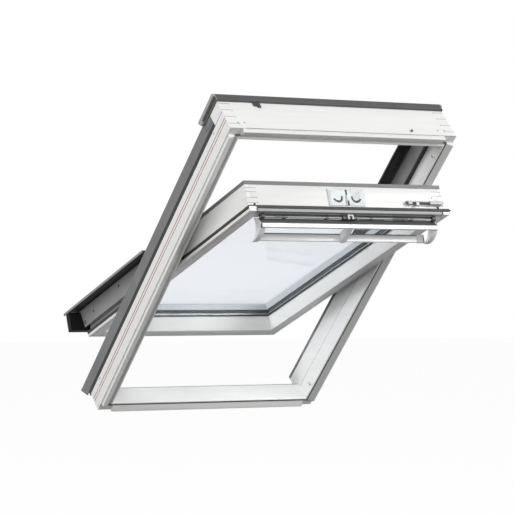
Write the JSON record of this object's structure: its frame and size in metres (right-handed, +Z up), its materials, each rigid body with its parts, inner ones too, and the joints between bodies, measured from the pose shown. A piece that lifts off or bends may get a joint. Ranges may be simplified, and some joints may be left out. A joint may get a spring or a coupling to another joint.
{
  "type": "roof window",
  "caption": "Centre-pivot roof window: white timber frame with grey outer cladding and a double-glazed sash that turns on side hinges, with control bar, ventilation flap and sliding bolt.",
  "frame": {"origin": "middle of the outer face of the frame's sill, the lower edge that sits on the roof opening", "axes": "+Z vertically up with the window at a roof pitch of 45 degrees, +X across the window to the right as seen from the room, +Y out of the room"},
  "size_m": [0.796, 1.1443, 0.9447],
  "materials": {
    "white_timber": "smooth white lacquer",
    "grey_cladding": "matt anthracite grey coating",
    "black_seal": "soft matt",
    "clear_glass": "clear polished",
    "spacer_metal": "satin",
    "plated_steel": "bright zinc plate",
    "silver_aluminium": "satin anodised",
    "white_lacquer": "gloss white lacquer",
    "white_plastic": "smooth moulded",
    "black_plastic": "matt moulded",
    "grey_plastic": "matt moulded"
  },
  "bodies": {
    "frame": {"casing_clip": "black_plastic", "frame_gasket": "black_seal", "frame_head": "white_timber", "frame_hinge_left": "plated_steel", "frame_hinge_right": "plated_steel", "frame_jamb_left": "white_timber", "frame_jamb_right": "white_timber", "frame_sill": "white_timber", "head_casing": "grey_cladding", "head_hood_left": "grey_cladding", "head_hood_right": "grey_cladding", "head_stud": "grey_plastic", "jamb_caps": "white_plastic", "jamb_cladding_left": "grey_cladding", "jamb_cladding_right": "grey_cladding", "jamb_seal_left": "black_seal", "jamb_seal_right": "black_seal", "keeper_plate": "plated_steel", "sill_sheet": "grey_cladding", "upper_cover_left": "grey_cladding", "upper_cover_right": "grey_cladding", "upper_cover_seals": "black_seal", "upper_lining_left": "grey_cladding", "upper_lining_right": "grey_cladding"},
    "flap": {"vent_flap": "silver_aluminium", "flap_rod": "plated_steel", "handle_bar": "white_lacquer", "end_bracket_left": "white_plastic", "end_bracket_right": "white_plastic", "centre_bracket": "white_plastic"},
    "bolt": {"bolt_rod": "plated_steel"},
    "latch": {"latch_tongue": "plated_steel"},
    "sash": {"bolt_housing": "plated_steel", "bottom_apron": "black_plastic", "bottom_sheet": "grey_cladding", "bottom_trim": "grey_cladding", "centre_catch": "plated_steel", "flap_mounts": "black_plastic", "glazing_bed": "black_seal", "head_strip": "silver_aluminium", "head_trim": "grey_cladding", "inner_pane": "clear_glass", "lock_plate": "plated_steel", "outer_pane": "clear_glass", "sash_bottom_rail": "white_timber", "sash_head": "white_timber", "sash_hinge_left": "plated_steel", "sash_hinge_right": "plated_steel", "sash_seal": "black_seal", "sash_stile_left": "white_timber", "sash_stile_right": "white_timber", "side_plate_left": "grey_cladding", "side_plate_right": "grey_cladding", "side_trim_left": "grey_cladding", "side_trim_right": "grey_cladding", "side_wing_left": "grey_cladding", "side_wing_right": "grey_cladding", "spacer_bar": "spacer_metal", "strip_caps": "white_plastic", "vent_grille": "black_plastic"}
  },
  "joints": [
    {"name": "sash_pivot", "type": "hinge", "parent": "frame", "child": "sash", "pos_m": [0, -0.34648, 0.4879], "axis": [1, 0, 0], "range_deg": [-25, 135]},
    {"name": "flap_hinge", "type": "hinge", "parent": "sash", "child": "flap", "pos_m": [0, -0.87141, 0.5602], "axis": [-1, 0, 0], "range_deg": [0, 35]},
    {"name": "latch_slide", "type": "slide", "parent": "sash", "child": "latch", "axis": [0, 0.342, 0.9397], "range_m": [0, 0.0125]},
    {"name": "bolt_slide", "type": "slide", "parent": "sash", "child": "bolt", "axis": [1, 0, 0], "range_m": [0, 0.014]}
  ],
  "couplings": [
    {"joint": "latch_slide", "follows": "flap_hinge", "m_per_rad": 0.019644}
  ]
}
